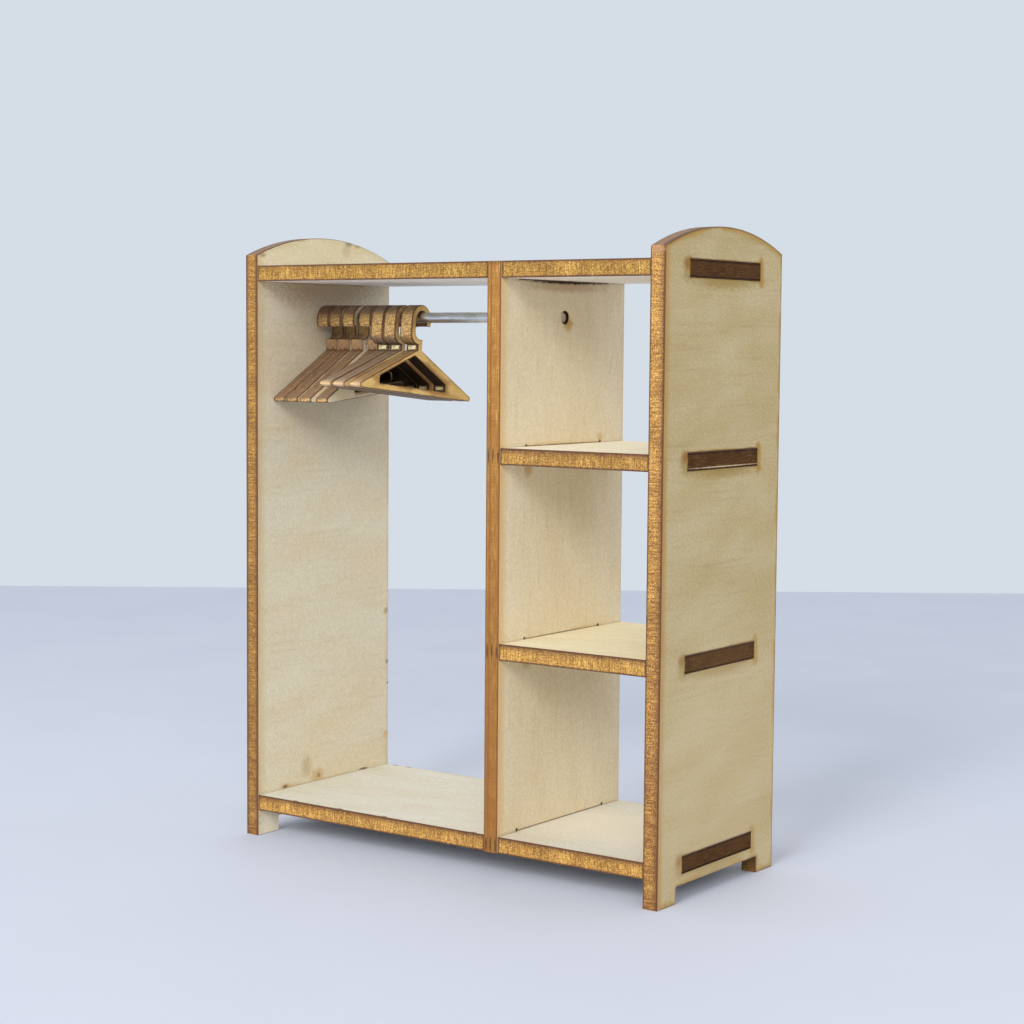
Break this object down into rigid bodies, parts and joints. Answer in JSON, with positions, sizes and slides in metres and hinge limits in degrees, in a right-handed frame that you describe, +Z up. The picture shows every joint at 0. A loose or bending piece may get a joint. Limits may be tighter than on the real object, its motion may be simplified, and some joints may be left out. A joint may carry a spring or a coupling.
{
  "type": "dollhouse wardrobe",
  "caption": "Open doll's house wardrobe of tab-and-slot plywood: a hanging bay where small hangers swing on a steel rod, beside a column of open shelves.",
  "frame": {"origin": "on the floor, under the middle of the wardrobe", "axes": "+Z up, +X to the wardrobe's right, where the shelves are, +Y to the back"},
  "size_m": [0.095, 0.04, 0.117],
  "materials": {
    "sheet_plywood": "unfinished pale plywood, edges scorched golden brown by the laser",
    "hanger_plywood": "smoke-stained tan plywood, edges scorched dark brown by the laser",
    "rod_steel": "dull drawn steel"
  },
  "bodies": {
    "carcass": {"left_side_panel": "sheet_plywood", "right_side_panel": "sheet_plywood", "divider": "sheet_plywood", "bottom_board": "sheet_plywood", "top_board": "sheet_plywood", "lower_shelf": "sheet_plywood", "upper_shelf": "sheet_plywood"},
    "rod": {"hanging_rod": "rod_steel"},
    "first_hanger": {"hanger_1": "hanger_plywood"},
    "second_hanger": {"hanger_2": "hanger_plywood"},
    "third_hanger": {"hanger_3": "hanger_plywood"},
    "fourth_hanger": {"hanger_4": "hanger_plywood"},
    "fifth_hanger": {"hanger_5": "hanger_plywood"},
    "sixth_hanger": {"hanger_6": "hanger_plywood"},
    "seventh_hanger": {"hanger_7": "hanger_plywood"}
  },
  "joints": [
    {"name": "rod_turn", "type": "hinge", "parent": "carcass", "child": "rod", "pos_m": [-0.017, 0, 0.1013], "axis": [1, 0, 0], "continuous": true},
    {"name": "hanger_1_swing", "type": "hinge", "parent": "carcass", "child": "first_hanger", "pos_m": [-0.0429, 0, 0.10085], "axis": [1, 0, 0], "range_deg": [-61.7, 50.3]},
    {"name": "hanger_2_swing", "type": "hinge", "parent": "carcass", "child": "second_hanger", "pos_m": [-0.03968, 0, 0.10085], "axis": [1, 0, 0], "range_deg": [-61.7, 50.3]},
    {"name": "hanger_3_swing", "type": "hinge", "parent": "carcass", "child": "third_hanger", "pos_m": [-0.0363, 0, 0.10085], "axis": [1, 0, 0], "range_deg": [-61.7, 50.3]},
    {"name": "hanger_4_swing", "type": "hinge", "parent": "carcass", "child": "fourth_hanger", "pos_m": [-0.03209, 0, 0.10085], "axis": [1, 0, 0], "range_deg": [-61.7, 50.3]},
    {"name": "hanger_5_swing", "type": "hinge", "parent": "carcass", "child": "fifth_hanger", "pos_m": [-0.0288, 0, 0.10085], "axis": [1, 0, 0], "range_deg": [-50.3, 61.7]},
    {"name": "hanger_6_swing", "type": "hinge", "parent": "carcass", "child": "sixth_hanger", "pos_m": [-0.02559, 0, 0.10085], "axis": [1, 0, 0], "range_deg": [-50.3, 61.7]},
    {"name": "hanger_7_swing", "type": "hinge", "parent": "carcass", "child": "seventh_hanger", "pos_m": [-0.02148, 0, 0.10085], "axis": [1, 0, 0], "range_deg": [-50.3, 61.7]}
  ]
}
